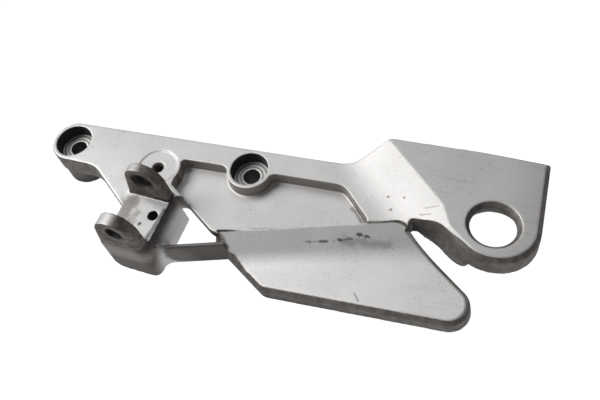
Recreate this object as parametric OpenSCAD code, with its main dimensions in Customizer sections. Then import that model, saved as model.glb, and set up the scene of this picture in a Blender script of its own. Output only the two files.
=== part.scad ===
// Footrest hanger of a motorcycle: one aluminium casting.
// The rear side of its mounting bosses lies on z = 0 and the outer face looks up.
// The origin is on the axis of the middle bolt hole, and the silencer lobe is at +X.

/* [Plate] */
// Height of the outer face above the mounting plane
face_height = 25; // [22:0.5:30]
// Depth of the rim all round the plate
rim_depth = 12.5; // [10:0.5:16]
// Thickness of the skin between the outer face and the hollow back
skin_thickness = 4.5; // [3:0.25:6]
// Thickness of the rim around the hollow back
rim_width = 4.5; // [3:0.25:6]
// Depth of the sunk field below the outer face
recess_depth = 7; // [3:0.5:8]
// Half width of the plate at the two bolts, and radius of their bosses
boss_radius = 12.3; // [11.5:0.1:14]

/* [Mounting bolts] */
// Distance between the two mounting bolts
bolt_spacing = 105.6; // [95:0.1:115]
// Radius of the bolt holes
bolt_hole_radius = 4.5; // [4.1:0.1:5.5]
// Radius of the counterbores that take the bolt flanges
counterbore_radius = 10; // [8:0.1:10.8]
// Depth of the counterbores
counterbore_depth = 7.4; // [4:0.1:10]

/* [Cable stay hole] */
// Distance of the tapped hole from the middle bolt, towards the front
tapped_hole_x = -50; // [-54:0.1:-48]
// Distance of the tapped hole from the line of the bolts
tapped_hole_y = -8; // [-9:0.1:-6]
// Radius of the tapped hole
tapped_hole_radius = 2.5; // [2:0.1:3.2]
// Depth of the tapped hole
tapped_hole_depth = 14; // [8:0.5:20]
// Radius of the faced spot around the tapped hole
spot_radius = 11; // [8:0.1:11.5]
// Depth of the faced spot
spot_depth = 0.5; // [0.2:0.1:1]
// Depth and width of the countersink of the tapped hole
countersink = 1.1; // [0.5:0.1:1.5]

/* [Lobe] */
// Rise of the lobe above the outer face, at its crease
lobe_rise = 9; // [5:0.5:12]
// Width of the ramp that leads up to the lobe
ramp_width = 22; // [18:0.5:26]
// Fall of the lobe's face away from the crease, in degrees
lobe_fall = 4; // [0:0.5:6]
// Distance of the silencer hole from the middle bolt, towards the rear
silencer_hole_x = 127.1; // [124:0.1:130]
// Distance of the silencer hole from the line of the bolts
silencer_hole_y = -13.4; // [-15:0.1:-12]
// Radius of the silencer hole
silencer_hole_radius = 10.9; // [9:0.1:12]
// Radius of the chamfer at the mouth of the silencer hole
silencer_mouth_radius = 13.1; // [12.5:0.1:14]
// Inner radius of the ring that stiffens the silencer hole from behind
silencer_ring_radius = 14.2; // [13:0.1:15]

// Radius of the part of the rim that hangs lower beside the notch
notch_rim_radius = 16; // [14:0.5:17]
// Height of the centre of that round part above the mounting plane
notch_rim_height = 24.3; // [22:0.1:26]

/* [Heel guard] */
// Depth of the guard's flat field below the outer face, beside the strut
guard_drop = 14.9; // [13:0.1:16]
// Rise of the guard towards the rear, in degrees
guard_rise = 5.3; // [3:0.1:7]
// Slope of the strip that joins the guard to the plate, in degrees
strip_slope = 30; // [20:1:35]
// Width of the strip, measured level
strip_width = 14.6; // [12:0.1:18]
// Depth of the guard's rim
guard_depth = 9.5; // [8:0.5:12]
// Thickness of the guard's skin
guard_skin = 4; // [3:0.25:5]

/* [Footrest clevis] */
// Length of the clevis block along the footrest's pin, out of the plate
clevis_length = 37.1; // [34:0.1:40]
// Width of the clevis block across the pin
clevis_width = 24.5; // [22:0.1:27]
// Gap between the ears
clevis_gap = 24.9; // [20:0.1:26]
// Thickness of the free ear
free_ear = 7; // [5:0.1:9]
// Height of the pin's axis above the outer face
pin_height = 14.2; // [12:0.1:16]
// Distance of the pin's axis from the rear side of the block
pin_setback = 11.4; // [11:0.1:13]
// Radius of the pin holes
pin_radius = 4.2; // [4:0.1:5]
// Radius of the round end of the ears
ear_radius = 9.8; // [9:0.1:11]
// Radius of the faced spot around the outer pin hole
pin_spot_radius = 8.8; // [7:0.1:9]
// Radius of the recess around the inner pin hole
pin_recess_radius = 6; // [5.5:0.1:7]
// Radius of the upright edge at the block's free end
block_round = 4.5; // [3:0.5:6]
// Widening of the block from its upper face down to the mounting plane
clevis_draft = 2; // [0:0.1:3]
// Depth of the recess around the inner pin hole
pin_recess_depth = 1.6; // [0.5:0.1:3]
// Depth of the faced spot around the outer pin hole
pin_spot_depth = 0.6; // [0.3:0.1:1.5]
// Radius of the hole for the footrest's detent
detent_radius = 2.65; // [2:0.05:3.5]
// Depth of the hole for the detent
detent_depth = 12; // [6:0.5:16]

/* [Strut] */
// Height of the strut between the clevis and the guard
strut_height = 19.5; // [16:0.5:21]
// Thickness of the strut's foot
strut_width = 8; // [6:0.5:10]
// Radius of the blend between the strut and the clevis block
strut_blend = 5; // [3:0.5:6]

/* [Hidden] */

// Half width of the flat at the plate's round end
end_flat = 0.1;
// The bosses stand back from the plate's end by this much
boss_step = 0.3;
// Smoothness of the bores and of the larger curves
bore_fn = 96;
// Angle between two points of a rounded corner, in degrees
arc_step = 9;
// A cut runs past the metal by this much
over = 1;
// Reach of the slabs that are trimmed to an outline
reach = 400;

// The crease between ramp and lobe: a point on it and its direction
crease_point = [70.8, 23.9];
crease_angle = -44.5;
// The lower end of the crease turns down around the silencer hole
bend_point = [103, -8.5];
bend_angle = -68;
bend_width = 21;
// Wall of the ring behind the silencer hole
ring_width = 3;
// The lower rim beside the notch: where its round part starts, how it is turned and its depth
notch_rim_point = [101.4, -25.7];
notch_rim_angle = -41.2;
notch_rim_reach = 11;
// The blend at the foot of the ramp
foot_blend_radius = 40;
ramp_slope = atan(lobe_rise / ramp_width);
bend_slope = atan(lobe_rise / bend_width);

// The guard's flat starts at this point of its crease, and its crease points this way
guard_origin = [13.8, -45.5, face_height - guard_drop];
guard_angle = 12;
guard_blend_radius = 22;
// The guard's front end leans out towards its rim
guard_end_angle = 131.4;
guard_end_lean = 0.3;
guard_end_height = 2;

// The clevis: rear corner of its free end, and the turn of its pin in plan
clevis_corner = [-37.5, -59.8];
clevis_turn = -4.6;
detent_place = [-5.2, 22.2];
// The straight sides of the ears touch their round end at these angles
ear_side_angle = 168;
ear_rear_angle = 20;
// The milling cutter runs out past the block by this much
slot_run_out = 3;
// The slot between the ears is skimmed this far below the outer face
slot_skim = 0.1;

// The strut's front face passes through this point, in this direction
strut_point = [-1.85, -41.8];
strut_angle = 15.5;
strut_length = 41;
strut_round = 1.2;

// The lobe's edges
lobe_end = 148.8;
lobe_bottom = -32.8;
lobe_top = 27.8;

// Outlines, as corners [x, y, radius], anticlockwise
plate_outline = [
    [-bolt_spacing - boss_radius, boss_radius, boss_radius - end_flat],
    [-bolt_spacing - boss_radius, -boss_radius, boss_radius - end_flat],
    [-86.2, -13.8, 15],
    [-61, -34, 0],
    [-39, -42, 0],
    [-33.6, -20.1, 5],
    [-10.7, -36.2, 9],
    [2, -38.5, 1],
    [70, -25, 1],
    [88.6, -21.4, 0.5],
    [87.6, -14.6, 2],
    [102, -16.6, 14],
    [120.5, lobe_bottom, 18],
    [lobe_end, lobe_bottom, 19.8],
    [lobe_end, lobe_top, 1.5],
    [70.2, 26, 4],
    [53.3, boss_radius, 14]
];
recess_outline = [
    [-38.4, -0.7, 2.5],
    [-38.4, -16.8, 0.5],
    [-25, -26.2, 0.5],
    [-25, -34, 0],
    [-8, -50, 0],
    [60, -28, 0],
    [69.5, -19.5, 4],
    [51.5, -0.7, 9],
    [13.4, -0.7, 4.5],
    [8, -8, 1],
    [-8, -8, 1],
    [-13.4, -0.7, 4.5]
];
guard_outline = [
    [-24.2, strip_width, 1.5],
    [4.9, -15.3, 9],
    [122, -42.3, 10],
    [76.5, strip_width, 9]
];
front_pocket_outline = [
    [-97, 6, 3],
    [-97, -6, 3],
    [-88, -8, 3],
    [-66, -14, 3],
    [-66, boss_radius - rim_width, 3],
    [-90, boss_radius - rim_width, 3]
];
rear_pocket_outline = [
    [76, -12.6, 3],
    [104.5, -12.6, 14],
    [122, lobe_bottom + rim_width, 13],
    [lobe_end - rim_width, lobe_bottom + rim_width, 15],
    [lobe_end - rim_width, lobe_top - rim_width, 3],
    [72, 26 - rim_width, 3],
    [58, 10, 5]
];
guard_pocket_outline = [
    [-8, 6, 3],
    [9, -11.8, 6],
    [110, -35, 6],
    [71, 10, 6],
    [-6, 10, 3]
];
block_outline = [
    [-clevis_width, 0, 6],
    [clevis_draft + over, 0, 0],
    [clevis_draft + over, face_height + slot_skim, 0],
    [-clevis_width, face_height + slot_skim, 0]
];
block_plan = [
    [-2 * clevis_width, 0, 0],
    [0, 0, block_round],
    [0, clevis_length + over, 0],
    [-2 * clevis_width, clevis_length + over, 0]
];
strut_section = [
    [0, 0, 0],
    [0, strut_height, strut_round],
    [strut_width, strut_height - 1.75 * strut_width, 0],
    [strut_width, 0, 0]
];

// One corner of an outline: an arc of the given radius that touches both of its edges
function corner(p, q, n) =
    let (
        a = [p[0] - q[0], p[1] - q[1]] / norm([p[0] - q[0], p[1] - q[1]]),
        b = [n[0] - q[0], n[1] - q[1]] / norm([n[0] - q[0], n[1] - q[1]]),
        half = acos(max(-1, min(1, a * b))) / 2,
        turn = 180 - 2 * half,
        side = a[0] * b[1] < a[1] * b[0] ? 1 : -1,
        centre = [q[0], q[1]] + (a + b) / norm(a + b) * q[2] / sin(half),
        start = atan2(side * a[0], -side * a[1]),
        steps = ceil(turn / arc_step)
    )
    [for (i = [0 : steps])
        let (t = start + side * turn * i / steps)
        centre + q[2] * [cos(t), sin(t)]];

// An outline with its corners rounded
function rounded(c) =
    [for (i = [0 : len(c) - 1])
        each c[i][2] > 0
            ? corner(c[(i + len(c) - 1) % len(c)], c[i], c[(i + 1) % len(c)])
            : [[c[i][0], c[i][1]]]];

// Points of a level face that turns upwards through a blend and rises to x = 0 and beyond
function rising(width, slope, blend) =
    let (
        rise = width * tan(slope),
        tangent = blend * tan(slope / 2)
    )
    concat(
        [[-reach, -rise]],
        [for (i = [0 : 6])
            let (a = slope * i / 6)
            [-width - tangent + blend * sin(a), blend * (1 - cos(a)) - rise]],
        [[reach, reach * tan(slope)]]
    );

// The round end of the ears, between two angles
function eye(from, to) =
    [for (i = [0 : 20])
        let (a = from + (to - from) * i / 20)
        [-pin_setback + ear_radius * cos(a), pin_height + ear_radius * sin(a)]];

// Side view of an ear: its round end runs down onto the rear side of the block
function ear_points() =
    let (
        a = ear_rear_angle,
        foot = pin_height + (ear_radius - (over + pin_setback) * cos(a)) / sin(a)
    )
    concat(
        [[-clevis_width, -over], [over, -over], [over, foot]],
        eye(a, ear_side_angle)
    );

// A straight prism on an outline, from one height to another
module prism(outline, bottom, top) {
    translate([0, 0, bottom])
        linear_extrude(height = top - bottom)
            polygon(rounded(outline));
}

// All that lies below a profile of [distance, height] points, across a line in plan
module below(point, angle, height, profile) {
    last = len(profile) - 1;
    translate([point[0], point[1], height])
        rotate([90, 0, angle + 90])
            translate([0, 0, -reach])
                linear_extrude(height = 2 * reach)
                    polygon(concat(profile, [[profile[last][0], -reach], [profile[0][0], -reach]]));
}

// All that lies below the outer face of plate, ramp and lobe, lowered by a drop
module below_face(drop) {
    crest = face_height + lobe_rise;
    translate([0, 0, -drop])
        intersection() {
            below(crease_point, crease_angle, crest,
                [[-reach, reach * tan(lobe_fall)], [reach, -reach * tan(lobe_fall)]]);
            union() {
                below(crease_point, crease_angle, crest,
                    rising(ramp_width, ramp_slope, foot_blend_radius));
                below(bend_point, bend_angle, crest,
                    rising(bend_width, bend_slope, foot_blend_radius));
            }
        }
}

module at_bolts() {
    for (x = [-bolt_spacing, 0])
        translate([x, 0, 0])
            children();
}

module at_silencer() {
    translate([silencer_hole_x, silencer_hole_y, 0])
        children();
}

module recess() {
    difference() {
        prism(recess_outline, face_height - recess_depth, face_height + over);
        cylinder(h = 2 * face_height, r = boss_radius, $fn = bore_fn);
        translate([tapped_hole_x, tapped_hole_y, 0])
            cylinder(h = 2 * face_height, r = spot_radius + 1.7, $fn = bore_fn);
    }
}

// The rim hangs lower beside the notch, with a round lower edge
module notch_rim() {
    translate([notch_rim_point[0], notch_rim_point[1], notch_rim_height])
        rotate([-90, 0, notch_rim_angle])
            cylinder(h = notch_rim_reach, r = notch_rim_radius, $fn = bore_fn);
}

// Plate, ramp and lobe, with the hollow back
module plate() {
    top = face_height + lobe_rise + over;
    difference() {
        intersection() {
            prism(plate_outline, 0, top);
            below_face(0);
        }
        difference() {
            below_face(rim_depth);
            notch_rim();
        }
        recess();
        intersection() {
            difference() {
                union() {
                    prism(front_pocket_outline, 0, top);
                    prism(rear_pocket_outline, 0, top);
                }
                at_silencer()
                    cylinder(h = top, r = silencer_ring_radius + ring_width, $fn = bore_fn);
            }
            below_face(skin_thickness);
        }
        intersection() {
            at_silencer()
                cylinder(h = top, r = silencer_ring_radius, $fn = bore_fn);
            below_face(skin_thickness);
        }
    }
    at_bolts()
        cylinder(h = face_height - recess_depth / 2, r = boss_radius - boss_step, $fn = bore_fn);
    intersection() {
        translate([tapped_hole_x, tapped_hole_y, face_height - tapped_hole_depth - 3])
            cylinder(h = tapped_hole_depth + 3, r = tapped_hole_radius + 4, $fn = bore_fn);
        below_face(0);
    }
}

module in_guard() {
    translate(guard_origin)
        rotate([0, -guard_rise, guard_angle])
            children();
}

// All that lies below the guard's face: a flat field and a strip that rises to the plate
module below_guard() {
    blend = guard_blend_radius;
    end = strip_width + over;
    below([0, 0], 0, 0, concat(
        [[-reach, 0]],
        [for (i = [0 : 6])
            let (a = strip_slope * i / 6)
            [blend * (sin(a) - tan(strip_slope / 2)), blend * (1 - cos(a))]],
        [[end, end * tan(strip_slope)]]
    ));
}

// All that lies behind the leaning front end of the guard
module behind_guard_end() {
    steep = reach / guard_end_lean;
    below(guard_outline[1], guard_end_angle, guard_end_height, [[-reach, steep], [reach, -steep]]);
}

// The heel guard, with the hollow behind it
module guard() {
    intersection() {
        in_guard()
            difference() {
                intersection() {
                    prism(guard_outline, -guard_depth, strip_width);
                    below_guard();
                    behind_guard_end();
                }
                intersection() {
                    prism(guard_pocket_outline, -guard_depth - over, strip_width);
                    translate([0, 0, -guard_skin])
                        below_guard();
                }
            }
        translate([-reach, -reach, 0])
            cube([2 * reach, 2 * reach, 2 * reach]);
    }
}

// Plate and strut stay below the guard's face
module above_guard() {
    in_guard()
        difference() {
            intersection() {
                prism(guard_outline, -guard_depth, reach);
                behind_guard_end();
            }
            below_guard();
        }
}

// A profile in the clevis' own side view, from one place along the pin to another
module across(points, from, to) {
    translate([0, to, 0])
        rotate([90, 0, 0])
            linear_extrude(height = to - from)
                polygon(points);
}

module in_clevis() {
    translate([clevis_corner[0], clevis_corner[1], 0])
        rotate(clevis_turn)
            children();
}

module at_pin() {
    translate([-pin_setback, 0, face_height + pin_height])
        rotate([-90, 0, 0])
            children();
}

// An upright prism that leans with the rear side of the block
module leaning(points) {
    translate([0, 0, face_height])
        rotate([0, -atan(clevis_draft / face_height), 0])
            translate([0, 0, -2 * face_height])
                linear_extrude(height = 4 * face_height)
                    polygon(points);
}

// The block that carries the footrest, and its two ears
module clevis() {
    in_clevis()
        intersection() {
            union() {
                across(rounded(block_outline), -over, clevis_length);
                translate([0, 0, face_height]) {
                    across(ear_points(), -over, free_ear + over);
                    across(ear_points(), free_ear + clevis_gap - over, clevis_length);
                }
            }
            leaning(rounded(block_plan));
        }
}

// The blend that fills the corner between strut and block
module strut_fillet() {
    turn = strut_angle - clevis_turn;
    away = strut_point - clevis_corner;
    u = away[0] * cos(clevis_turn) + away[1] * sin(clevis_turn);
    v = away[1] * cos(clevis_turn) - away[0] * sin(clevis_turn);
    foot = v - (u - clevis_draft) * tan(turn);
    in_clevis()
        intersection() {
            leaning(concat(
                [[-strut_blend, foot + strut_blend / 2]],
                corner([0, 0], [0, foot, strut_blend], [u, foot + u * tan(turn)])
            ));
            translate([-clevis_width, 0, 0])
                cube([3 * clevis_width, clevis_length, strut_height - strut_round]);
        }
}

// The strut that ties the clevis to the guard
module strut() {
    translate([strut_point[0], strut_point[1], 0])
        rotate(strut_angle)
            rotate([90, 0, -90])
                linear_extrude(height = strut_length)
                    polygon(rounded([for (p = strut_section) [-p[0], p[1], p[2]]]));
}

// The slot between the ears, milled square
module slot() {
    in_clevis()
        translate([-clevis_width - slot_run_out, free_ear, face_height - slot_skim])
            cube([clevis_width + 2 * slot_run_out, clevis_gap, 2 * face_height]);
}

// The mouth of the silencer hole, square to the lobe's face
module silencer_mouth() {
    chamfer = silencer_mouth_radius - silencer_hole_radius;
    fall = (silencer_hole_x - crease_point[0]) * cos(crease_angle + 90)
        + (silencer_hole_y - crease_point[1]) * sin(crease_angle + 90);
    at_silencer()
        translate([0, 0, face_height + lobe_rise - fall * tan(lobe_fall)])
            rotate([0, 0, crease_angle + 90])
                rotate([0, lobe_fall, 0]) {
                    translate([0, 0, -2 * skin_thickness])
                        cylinder(h = 3 * skin_thickness, r = silencer_hole_radius, $fn = bore_fn);
                    translate([0, 0, -chamfer])
                        cylinder(
                            h = chamfer + over,
                            r1 = silencer_hole_radius,
                            r2 = silencer_mouth_radius + over,
                            $fn = bore_fn
                        );
                }
}

module bores() {
    at_bolts() {
        translate([0, 0, -over])
            cylinder(h = face_height + 2 * over, r = bolt_hole_radius, $fn = bore_fn);
        translate([0, 0, face_height - counterbore_depth])
            cylinder(h = counterbore_depth + over, r = counterbore_radius, $fn = bore_fn);
    }
    translate([tapped_hole_x, tapped_hole_y, face_height]) {
        translate([0, 0, -tapped_hole_depth])
            cylinder(h = tapped_hole_depth + over, r = tapped_hole_radius, $fn = bore_fn);
        translate([0, 0, -spot_depth])
            cylinder(h = spot_depth + over, r = spot_radius, $fn = bore_fn);
        translate([0, 0, -spot_depth - countersink])
            cylinder(
                h = countersink,
                r1 = tapped_hole_radius,
                r2 = tapped_hole_radius + countersink,
                $fn = bore_fn
            );
    }
    in_clevis() {
        at_pin() {
            translate([0, 0, -over])
                cylinder(h = clevis_length + 2 * over, r = pin_radius, $fn = bore_fn);
            translate([0, 0, -over])
                cylinder(h = over + pin_spot_depth, r = pin_spot_radius, $fn = bore_fn);
            translate([0, 0, free_ear + clevis_gap - over])
                cylinder(h = over + pin_recess_depth, r = pin_recess_radius, $fn = bore_fn);
        }
        translate([detent_place[0], detent_place[1], face_height - detent_depth])
            cylinder(h = detent_depth + over, r = detent_radius, $fn = bore_fn);
    }
    silencer_mouth();
}

module hanger() {
    color("silver")
        difference() {
            union() {
                difference() {
                    union() {
                        plate();
                        strut();
                        strut_fillet();
                    }
                    above_guard();
                }
                guard();
                clevis();
            }
            slot();
            bores();
        }
}

hanger();
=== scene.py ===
import math

import bpy
import numpy as np
from mathutils import Matrix, Vector


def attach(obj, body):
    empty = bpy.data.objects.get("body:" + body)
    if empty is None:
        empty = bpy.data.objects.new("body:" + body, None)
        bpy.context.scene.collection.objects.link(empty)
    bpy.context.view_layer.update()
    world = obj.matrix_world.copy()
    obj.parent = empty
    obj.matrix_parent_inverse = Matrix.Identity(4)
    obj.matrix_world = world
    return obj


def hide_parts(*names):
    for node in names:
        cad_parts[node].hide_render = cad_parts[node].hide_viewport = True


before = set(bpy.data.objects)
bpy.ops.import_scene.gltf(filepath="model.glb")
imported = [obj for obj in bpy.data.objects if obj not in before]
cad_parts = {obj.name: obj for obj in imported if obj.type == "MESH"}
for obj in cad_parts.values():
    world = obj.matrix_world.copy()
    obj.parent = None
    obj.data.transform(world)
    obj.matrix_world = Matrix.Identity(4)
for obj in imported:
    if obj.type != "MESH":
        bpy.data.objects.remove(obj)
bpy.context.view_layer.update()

scene = bpy.context.scene


# 1. The casting
# The hanger leaves the mould as one piece of aluminium. Its rims are cast with
# a bevel where a boot or a hand meets them, and its inner corners are filled.
# The bolt seats, the slot and the holes are milled afterwards and stay sharp.
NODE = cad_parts["hanger"]
WELD_DISTANCE = 0.00001
FLAT_WITHIN = math.radians(0.5)
VOXEL = 0.0004
MOST_TRIANGLES = 190000

# Each rim: the points it passes, in millimetres, and the width of its bevel
BEVELLED_RIMS = [
    (
        [
            (148.8, 27.8, 31), (148.8, -13, 33.4), (147.3, -20.6, 33.8), (143, -27, 34),
            (136.6, -31.3, 34.2), (129, -32.8, 34.3), (124.4, -32.6, 34.4),
            (119.5, -31, 34.4), (114.8, -27.8, 34.5), (108, -21.9, 34),
        ],
        0.0024,
    ),
    (
        [
            (90.5, -19.3, 23), (97, -24.7, 19.8), (119.7, -43.3, 19.8), (122.9, -47.9, 20),
            (122.8, -54.4, 19.8), (119.4, -59, 19.3), (113.2, -61, 18.8), (60, -60.1, 14),
            (22, -58.8, 10.6), (1, -45.5, 10.5),
        ],
        0.0022,
    ),
]
# An edge belongs to a rim when both its ends are this near to the rim's line
RIM_REACH = 0.003
# and it lies between a face and a wall, told apart by how far each looks up
FACE_LOOKS_UP = 0.8
WALL_LOOKS_UP = 0.5

# Each milled place: the axis of its tool, and how far from it the edges stay
# sharp, all in millimetres
MILLED = [
    ([(0, 0, 0), (0, 0, 26)], 11.5),
    ([(-105.6, 0, 0), (-105.6, 0, 26)], 11.5),
    ([(-50, -8, 8), (-50, -8, 26)], 12.3),
    ([(127.1, -13.4, 20), (127.1, -13.4, 40)], 14.5),
    ([(-49.5, -58.5, 37), (-46.5, -21, 37)], 14),
]
# Rims that are worn rounder than the rest, and how far the wear reaches
SOFT_EDGES = [
    ([(-33.6, -20.1, 18), (-10.7, -36.2, 18)], 4),
    (
        [
            (-117.9, 2, 25), (-113, -9.8, 25), (-105.6, -12.3, 25), (-88, -13.8, 25),
            (-61, -34, 25),
        ],
        2.5,
    ),
]


def only(obj):
    bpy.ops.object.select_all(action="DESELECT")
    obj.select_set(True)
    bpy.context.view_layer.objects.active = obj


def apply_all(obj):
    only(obj)
    for mod in list(obj.modifiers):
        bpy.ops.object.modifier_apply(modifier=mod.name)


def from_line(points, line):
    """How far each point, in metres, is from a line given in millimetres."""
    least = np.full(len(points), np.inf)
    for a, b in zip(line, line[1:]):
        a, b = np.array(a) / 1000, np.array(b) / 1000
        span = b - a
        along = np.clip((points - a) @ span / (span @ span), 0, 1)
        off = points - a - along[:, None] * span
        least = np.minimum(least, np.linalg.norm(off, axis=1))
    return least


mesh = NODE.data.copy()
mesh.transform(NODE.matrix_world)
cast = bpy.data.objects.new("casting", mesh)
scene.collection.objects.link(cast)
only(cast)
bpy.ops.object.mode_set(mode="EDIT")
bpy.ops.mesh.select_all(action="SELECT")
bpy.ops.mesh.remove_doubles(threshold=WELD_DISTANCE)
bpy.ops.mesh.dissolve_limited(angle_limit=FLAT_WITHIN)
bpy.ops.object.mode_set(mode="OBJECT")

for line, width in BEVELLED_RIMS:
    bpy.ops.object.mode_set(mode="EDIT")
    bpy.ops.mesh.select_mode(type="EDGE")
    bpy.ops.mesh.select_all(action="DESELECT")
    bpy.ops.object.mode_set(mode="OBJECT")
    looks_up = {}
    for face in cast.data.polygons:
        for key in face.edge_keys:
            looks_up.setdefault(key, []).append(face.normal.z)
    for edge in cast.data.edges:
        sides = looks_up.get(tuple(sorted(edge.vertices)), [])
        if len(sides) != 2 or max(sides) <= FACE_LOOKS_UP or min(sides) >= WALL_LOOKS_UP:
            continue
        ends = np.array([cast.data.vertices[i].co for i in edge.vertices])
        edge.select = bool(from_line(ends, line).max() <= RIM_REACH)
    bpy.ops.object.mode_set(mode="EDIT")
    bpy.ops.mesh.bevel(offset_type="OFFSET", offset=width, segments=1, affect="EDGES")
    bpy.ops.object.mode_set(mode="OBJECT")

remesh = cast.modifiers.new("skin", "REMESH")
remesh.mode = "VOXEL"
remesh.voxel_size = VOXEL
apply_all(cast)

points = np.empty(len(cast.data.vertices) * 3)
cast.data.vertices.foreach_get("co", points)
points = points.reshape(-1, 3)
as_cast = np.ones(len(points), bool)
for line, reach in MILLED:
    as_cast &= from_line(points, line) > reach / 1000
worn = np.zeros(len(points), bool)
for line, reach in SOFT_EDGES:
    worn |= from_line(points, line) < reach / 1000
# Each smoothing: its name, the vertices that it moves, and its steps
for name, chosen, steps in [("all", None, 3), ("as cast", as_cast, 3), ("worn", worn, 20)]:
    relax = cast.modifiers.new(name, "SMOOTH")
    relax.factor = 0.5
    relax.iterations = steps
    if chosen is not None:
        group = cast.vertex_groups.new(name=name)
        group.add(np.flatnonzero(chosen).tolist(), 1.0, "REPLACE")
        relax.vertex_group = group.name
thin = cast.modifiers.new("fewer faces", "DECIMATE")
thin.ratio = MOST_TRIANGLES / (2 * len(cast.data.polygons))
apply_all(cast)
bpy.ops.object.shade_smooth()

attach(cast, "root")
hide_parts("hanger")


# 2. The coat and its wear
# The faces carry a pale silver coat with fine pits. The walls, which a hand
# never polishes, keep the dark brown-grey skin of the mould. Painted shade
# darkens the corners, the holes and the walls near the table, painted light
# brightens the clevis block's rear low down, a painted highlight lies on the
# ears' tops, and the milled seats show rings left by the bolts.
COAT = (0.82, 0.81, 0.8)
DULL_COAT = [0.93 * v for v in COAT]
BROWN = (0.3, 0.27, 0.25)
SKIN = (0.25, 0.232, 0.218)
DARK_SKIN = [0.7 * v for v in SKIN]
WORN_SKIN = (0.4, 0.375, 0.355)
RUBBED_SKIN = (0.38, 0.35, 0.33)
# painted light from the table, used on the clevis block's rear
PAINTED_TABLE_LIGHT = (0.95, 0.94, 0.93)
# dark dirt, also used for painted shade in corners, holes and near the table
DIRT_AND_SHADE = (0.03, 0.026, 0.024)
OIL = (0.2, 0.18, 0.165)
THIN_OIL = (0.33, 0.31, 0.29)
# oil together with painted shade, for the block's front near the table
FRONT_OIL_AND_SHADE = (0.15, 0.136, 0.127)
EAR_OIL = (0.2, 0.175, 0.16)
STRUT_OIL = (0.15, 0.135, 0.125)
METALLIC = 0.45


def material(name):
    mat = bpy.data.materials.new(name)
    mat.use_nodes = True
    return mat, mat.node_tree.nodes["Principled BSDF"]


class Sheet:
    """Adds nodes to a tree and joins them."""

    def __init__(self, tree):
        self.tree = tree

    def add(self, kind, inputs=(), **settings):
        node = self.tree.nodes.new("ShaderNode" + kind)
        for name, value in settings.items():
            setattr(node, name, value)
        for place, value in dict(inputs).items():
            if isinstance(value, bpy.types.NodeSocket):
                self.tree.links.new(value, node.inputs[place])
            else:
                node.inputs[place].default_value = value
        return node

    def math(self, operation, a, b=0.0, clamp=False):
        return self.add("Math", {0: a, 1: b}, operation=operation, use_clamp=clamp).outputs[0]

    def times(self, a, b):
        return self.math("MULTIPLY", a, b)

    def between(self, value, low, high):
        """0 up to low, 1 from high on, and a smooth step between them."""
        step = self.add("MapRange", {0: value, 1: low, 2: high}, interpolation_type="SMOOTHSTEP")
        return step.outputs[0]

    def mix(self, share, a, b):
        node = self.add("Mix", data_type="RGBA")
        for place, value in ((0, share), (6, a), (7, b)):
            if isinstance(value, bpy.types.NodeSocket):
                self.tree.links.new(value, node.inputs[place])
            elif place == 0:
                node.inputs[place].default_value = value
            else:
                node.inputs[place].default_value = (*value, 1)
        return node.outputs[2]

    def noise(self, place, scale, detail, stretch=None):
        if stretch:
            place = self.add("VectorMath", {0: place, 1: stretch}, operation="MULTIPLY").outputs[0]
        return self.add("TexNoise", {"Vector": place, "Scale": scale, "Detail": detail}).outputs[0]


near = bpy.data.node_groups.new("near a line", "ShaderNodeTree")
for name in ("Place", "Start", "End"):
    near.interface.new_socket(name, in_out="INPUT", socket_type="NodeSocketVector")
for name in ("Reach", "Softness", "Ragged"):
    near.interface.new_socket(name, in_out="INPUT", socket_type="NodeSocketFloat")
near.interface.new_socket("Mask", in_out="OUTPUT", socket_type="NodeSocketFloat")
inner = Sheet(near)
given = near.nodes.new("NodeGroupInput").outputs
put = near.nodes.new("NodeGroupOutput")
start = given["Start"]
line = inner.add("VectorMath", {0: given["End"], 1: start}, operation="SUBTRACT").outputs[0]
away = inner.add("VectorMath", {0: given["Place"], 1: start}, operation="SUBTRACT").outputs[0]
along = inner.math(
    "DIVIDE",
    inner.add("VectorMath", {0: away, 1: line}, operation="DOT_PRODUCT").outputs["Value"],
    inner.add("VectorMath", {0: line, 1: line}, operation="DOT_PRODUCT").outputs["Value"],
    clamp=True,
)
foot = inner.add("VectorMath", {0: line, "Scale": along}, operation="SCALE").outputs[0]
far = inner.add("VectorMath", {0: away, 1: foot}, operation="DISTANCE").outputs["Value"]
blot = inner.math("SUBTRACT", inner.noise(given["Place"], 420, 3), 0.5)
far = inner.math("ADD", far, inner.times(blot, given["Ragged"]))
past = inner.math("SUBTRACT", far, given["Reach"])
share = inner.math("DIVIDE", past, given["Softness"])
near.links.new(inner.between(share, 1.0, 0.0), put.inputs["Mask"])

coat, coat_shader = material("aluminium")
sheet = Sheet(coat.node_tree)
seat = sheet.add("TexCoord")
place = seat.outputs["Object"]
facing = sheet.add("SeparateXYZ", {0: seat.outputs["Normal"]}).outputs
xyz = sheet.add("SeparateXYZ", {0: place}).outputs


def mark(colour, start, end, reach, softness, ragged, strength, new_colour, only_where=None):
    """Paints a mark along a line; lengths in millimetres."""
    spot = sheet.add("Group", node_tree=near)
    sheet.tree.links.new(place, spot.inputs["Place"])
    spot.inputs["Start"].default_value = [v / 1000 for v in start]
    spot.inputs["End"].default_value = [v / 1000 + 1e-5 for v in end]
    spot.inputs["Reach"].default_value = reach / 1000
    spot.inputs["Softness"].default_value = softness / 1000
    spot.inputs["Ragged"].default_value = ragged / 1000
    share = sheet.times(spot.outputs[0], strength)
    if only_where is not None:
        share = sheet.times(share, only_where)
    return sheet.mix(share, colour, new_colour)


def mark_all(colour, marks):
    """Paints marks: start, end, reach, softness, raggedness, strength, colour."""
    for values in marks:
        colour = mark(colour, *values)
    return colour


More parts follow.
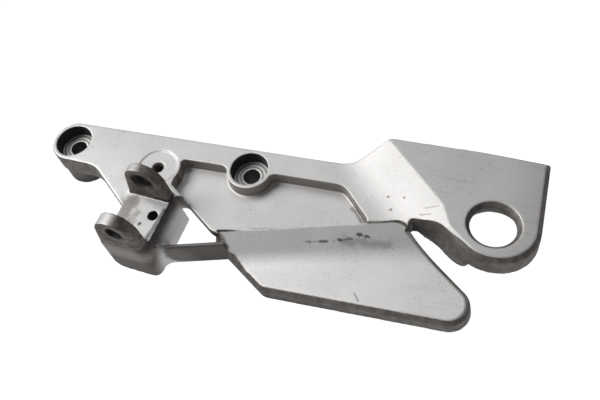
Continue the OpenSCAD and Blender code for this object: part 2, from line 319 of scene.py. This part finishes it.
# The pale coat, cloudy and pitted
cloud = sheet.noise(place, 45, 4)
grain = sheet.noise(place, 900, 3)
upper = sheet.mix(sheet.between(cloud, 0.35, 0.7), COAT, DULL_COAT)
pits = sheet.between(sheet.noise(place, 620, 5), 0.6, 0.7)
pits = sheet.times(pits, sheet.between(cloud, 0.42, 0.6))
upper = sheet.mix(sheet.times(pits, 0.32), upper, BROWN)
fine = sheet.noise(place, 1500, 2)
upper = sheet.mix(sheet.times(sheet.between(fine, 0.5, 0.8), 0.25), upper, BROWN)

# Surfaces facing left, the ramp among them, are darker, and the lobe is brushed lengthwise
on_ramp = sheet.between(facing[0], -0.12, -0.24)
upper = sheet.mix(sheet.times(on_ramp, 0.17), upper, BROWN)
streaks = sheet.noise(place, 60, 3, stretch=(0.35, 5, 1))
on_lobe = sheet.between(xyz[0], 0.085, 0.11)
share = sheet.times(sheet.times(sheet.between(streaks, 0.5, 0.75), 0.25), on_lobe)
upper = sheet.mix(share, upper, BROWN)

# The faces: shade at the lobe's end, dirt in the clevis, scuffs along the
# guard's upper edge, and the pits and scratches of ramp and lobe
upper = mark_all(upper, [
    ((152, -15, 33), (152, 20, 32), 0, 30, 0, 0.2, SKIN),
    ((-56.8, -29.5, 25), (-53, -31, 25), 0.6, 3.5, 4, 0.55, SKIN),
    ((-46.1, -43.5, 25), (-46, -43, 25), 0.3, 1.2, 1, 0.9, DIRT_AND_SHADE),
    ((-57, -33, 25), (-57, -46, 25), 1.5, 5, 6, 0.75, OIL),
    ((-50, -37, 25), (-51, -47, 25), 0.2, 3, 7, 0.5, OIL),
    ((-54.6, -30.3, 25), (-54.4, -30.2, 25), 2.4, 1.2, 1.5, 0.6, THIN_OIL),
    ((39.5, -32, 17.2), (50, -30, 18), 0, 0.9, 4, 0.75, DIRT_AND_SHADE),
    ((53, -29.3, 18.6), (62, -27, 19.6), 0, 1.2, 4.5, 0.85, DIRT_AND_SHADE),
    ((64, -24.6, 20.9), (70, -25, 20.6), 0, 0.9, 3.5, 0.85, DIRT_AND_SHADE),
    ((58, -28.6, 18.9), (80, -27, 19.1), 0, 4, 6, 0.45, SKIN),
    ((69, -53, 15), (72, -57, 15.2), 0.15, 0.4, 0.4, 0.8, SKIN),
    ((75.2, -4.5, 27), (75.4, -4.4, 27), 0.4, 0.5, 0.8, 0.9, SKIN),
    ((83.3, -4.9, 29.2), (83.5, -4.9, 29.2), 0.3, 0.5, 0.8, 0.9, SKIN),
    ((78.1, -10.9, 25.9), (78.2, -10.9, 25.9), 0.5, 0.5, 0.8, 0.9, SKIN),
    ((92.7, -13.1, 29.5), (98.4, -12.4, 31.2), 0.1, 0.4, 0.5, 0.7, SKIN),
    ((94.5, -9.7, 31), (101, -8.6, 33.5), 0.1, 0.4, 0.5, 0.6, SKIN),
])

# The walls: dark skin, mottled brown, worn paler around the sunk field and the
# middle boss, and darkened towards the table by painted shade and dirt
mottle = sheet.noise(place, 260, 4)
wall = sheet.mix(sheet.between(mottle, 0.38, 0.62), SKIN, DARK_SKIN)
wall = mark_all(wall, [
    ((-38, -2, 22), (60, -2, 22), 7, 2, 1, 1.0, WORN_SKIN),
    ((-38, -17, 22), (-10, -36, 22), 4, 2, 1, 1.0, WORN_SKIN),
    ((51, -1, 22), (69, -19, 22), 4, 2, 1, 1.0, WORN_SKIN),
    ((0, 0, 18), (0, 0, 26), 13, 2, 1, 1.0, WORN_SKIN),
])
# painted shade and dirt: the walls darken towards the table
wall = sheet.mix(sheet.times(sheet.between(xyz[2], 0.013, 0), 0.75), wall, DIRT_AND_SHADE)
# The clevis block: its front above; its front below, dark with oil and painted shade; its rear low
# down, near-white with painted light from the table; the ears; and painted shade on the walls just
# below the block's top near its rear
wall = mark_all(wall, [
    ((-62, -60, 14), (-42, -62, 14), 9, 6, 5, 0.8, RUBBED_SKIN),
    # oil and painted shade on the block's front near the table
    ((-62, -60, 0), (-35, -62, 2), 10, 7, 5, 0.95, FRONT_OIL_AND_SHADE),
    # painted light from the table on the block's rear, low down
    ((-33, -24, 2), (-33, -42, 2), 10, 9, 2, 1.0, PAINTED_TABLE_LIGHT),
    ((-49.5, -58.5, 37), (-46.5, -21, 37), 11, 5, 2, 0.5, EAR_OIL),
    # painted shade on the walls below the block's top near its rear
    ((-37, -24, 26), (-37, -54, 26), 3, 7, 2, 0.75, DIRT_AND_SHADE),
])
is_face = sheet.between(facing[2], 0.74, 0.84)
colour = sheet.mix(is_face, wall, upper)

# The strut and the ears are brown with old oil on every side
low = sheet.between(xyz[2], 0.0215, 0.02)
colour = mark(colour, (-25, -46, 10), (-10, -42.8, 10), 8.5, 2.5, 3, 0.85, STRUT_OIL, low)
high = sheet.between(xyz[2], 0.0262, 0.0275)
on_ears = sheet.times(high, sheet.between(xyz[0], -0.032, -0.034))
mottled = sheet.mix(sheet.between(mottle, 0.4, 0.65), (0.23, 0.205, 0.19), (0.13, 0.115, 0.105))
# painted highlight: the pale coat on the upward tops of the ears' left halves
painted_ear_highlight = sheet.times(sheet.between(facing[2], 0.5, 0.9), sheet.between(xyz[0], -0.044, -0.05))
ear_tone = sheet.mix(sheet.times(painted_ear_highlight, 0.85), mottled, COAT)
colour = sheet.mix(on_ears, colour, ear_tone)

# Painted shade in the pin holes' seat and bore, then painted shade in the corners, on faces and
# walls alike
colour = mark_all(colour, [
    ((-46.3, -27.5, 39.2), (-46.1, -25, 39.2), 6, 0.6, 0.5, 0.7, (0.07, 0.062, 0.056)),
    ((-48.9, -61.5, 39.2), (-45.6, -19, 39.2), 4.5, 0.6, 0.3, 0.9, DIRT_AND_SHADE),
    ((-36, -33, 25), (-40, -58, 25), 0.4, 1.6, 2, 0.7, DIRT_AND_SHADE),
    ((-50.8, -53, 25), (-37, -52, 25), 0.3, 1.4, 2, 0.8, DIRT_AND_SHADE),
    ((58, -9, 18), (66, -17, 18), 0.2, 2, 3, 0.6, DIRT_AND_SHADE),
])

# The bolt seats: a milled floor with bright and dark rings, painted shade at the foot of the wall,
# and dark walls
BOLTS_AT = (-0.1056, 0.0)
RADIANS_PER_METRE = 2900
PALE_RING = (0.9, 0.9, 0.89)
DARK_RING = (0.35, 0.33, 0.31)
SEAT_WALL = (0.08, 0.074, 0.069)
BORE_WALL = (0.16, 0.145, 0.135)
for x in BOLTS_AT:
    radial = sheet.add("CombineXYZ", {0: sheet.math("SUBTRACT", xyz[0], x), 1: xyz[1]}).outputs[0]
    radius = sheet.add("VectorMath", {0: radial}, operation="LENGTH").outputs["Value"]
    rings = sheet.math("SINE", sheet.times(radius, RADIANS_PER_METRE))
    floor_tone = sheet.mix(sheet.between(rings, -0.9, 0.7), DARK_RING, PALE_RING)
    # painted shade at the foot of the seat wall
    floor_tone = sheet.mix(sheet.between(radius, 0.0088, 0.0098), floor_tone, DIRT_AND_SHADE)
    side_tone = sheet.mix(sheet.between(radius, 0.0058, 0.0052), SEAT_WALL, BORE_WALL)
    seat_tone = sheet.mix(is_face, side_tone, floor_tone)
    below_rim = sheet.between(xyz[2], 0.0246, 0.0242)
    inside = sheet.times(sheet.between(radius, 0.0102, 0.01), below_rim)
    colour = sheet.mix(inside, colour, seat_tone)

sheet.tree.links.new(colour, coat_shader.inputs["Base Color"])
dull = sheet.add("MapRange", {0: is_face, 3: 0.62, 4: 0.5}).outputs[0]
sheet.tree.links.new(dull, coat_shader.inputs["Roughness"])
coat_shader.inputs["Metallic"].default_value = METALLIC
bump = sheet.add("Bump", {"Height": grain, "Strength": 0.12, "Distance": 0.0003})
sheet.tree.links.new(bump.outputs[0], coat_shader.inputs["Normal"])
cast.data.materials.clear()
cast.data.materials.append(coat)


# 3. The table, the light and the camera
# The hanger lies on its bolt bosses on a white table, lit by a large soft
# light from the left and above, and is seen from above its lower edge.
TABLE_SIZE = 6
TABLE_Z = -0.0002
WHITE = (1, 1, 1, 1)
AMBIENT = 0.1


def by_ray(tree, others, camera, surface):
    """Gives the camera one shader and every other ray another."""
    path = tree.nodes.new("ShaderNodeLightPath")
    either = tree.nodes.new("ShaderNodeMixShader")
    tree.links.new(path.outputs["Is Camera Ray"], either.inputs["Fac"])
    tree.links.new(others.outputs[0], either.inputs[1])
    tree.links.new(camera.outputs[0], either.inputs[2])
    tree.links.new(either.outputs[0], surface)


bpy.ops.mesh.primitive_plane_add(size=TABLE_SIZE, location=(0, 0, TABLE_Z))
floor = bpy.context.active_object
floor.name = "table"
paper, paper_shader = material("white table")
paper_shader.inputs["Base Color"].default_value = (0.5, 0.5, 0.5, 1)
paper_shader.inputs["Emission Color"].default_value = WHITE
paper_shader.inputs["Emission Strength"].default_value = 0.45
paper_shader.inputs["Roughness"].default_value = 0.9
paper_shader.inputs["Specular IOR Level"].default_value = 0.0
nodes, links = paper.node_tree.nodes, paper.node_tree.links
seen = nodes.new("ShaderNodeBsdfDiffuse")
seen.inputs["Color"].default_value = (0.9, 0.9, 0.9, 1)
glow = nodes.new("ShaderNodeEmission")
glow.inputs["Color"].default_value = WHITE
glow.inputs["Strength"].default_value = 1.28
lit = nodes.new("ShaderNodeMixShader")
lit.inputs["Fac"].default_value = 0.22
links.new(glow.outputs[0], lit.inputs[1])
links.new(seen.outputs[0], lit.inputs[2])
by_ray(paper.node_tree, paper_shader, lit, nodes["Material Output"].inputs["Surface"])
floor.data.materials.append(paper)

world = bpy.data.worlds.new("studio")
scene.world = world
world.use_nodes = True
nodes = world.node_tree.nodes
ambient = nodes["Background"]
ambient.inputs["Color"].default_value = WHITE
ambient.inputs["Strength"].default_value = AMBIENT
white = nodes.new("ShaderNodeBackground")
white.inputs["Color"].default_value = WHITE
white.inputs["Strength"].default_value = 1
by_ray(world.node_tree, ambient, white, nodes["World Output"].inputs["Surface"])


def softbox(name, place, target, side, power):
    light = bpy.data.lights.new(name, "AREA")
    light.shape = "RECTANGLE"
    light.size = light.size_y = side
    light.energy = power
    obj = bpy.data.objects.new(name, light)
    scene.collection.objects.link(obj)
    obj.location = place
    obj.rotation_mode = "QUATERNION"
    obj.rotation_quaternion = (Vector(target) - Vector(place)).to_track_quat("-Z", "Y")


softbox("left light", (-2.0, 0.1, 2.08), (0.02, -0.02, 0), 1.7, 55)
softbox("rear light", (-0.15, 0.75, 1.1), (0.08, 0, 0), 0.5, 1.5)

CAMERA_AT = (0.1289, -0.1902, 0.3318)
CAMERA_RIGHT = Vector((0.95078, 0.27560, -0.14163))
CAMERA_UP = Vector((-0.16216, 0.83204, 0.53049))
CAMERA_BACK = Vector((0.26404, -0.48141, 0.83578))
SENSOR_WIDTH = 36
LENS = 43.71
camera = bpy.data.objects.new("camera", bpy.data.cameras.new("camera"))
scene.collection.objects.link(camera)
turned = Matrix((CAMERA_RIGHT, CAMERA_UP, CAMERA_BACK)).transposed()
camera.matrix_world = Matrix.Translation(CAMERA_AT) @ turned.to_4x4()
camera.data.sensor_width = SENSOR_WIDTH
camera.data.lens = LENS
camera.data.clip_start = 0.01
scene.camera = camera

scene.view_settings.view_transform = "Standard"
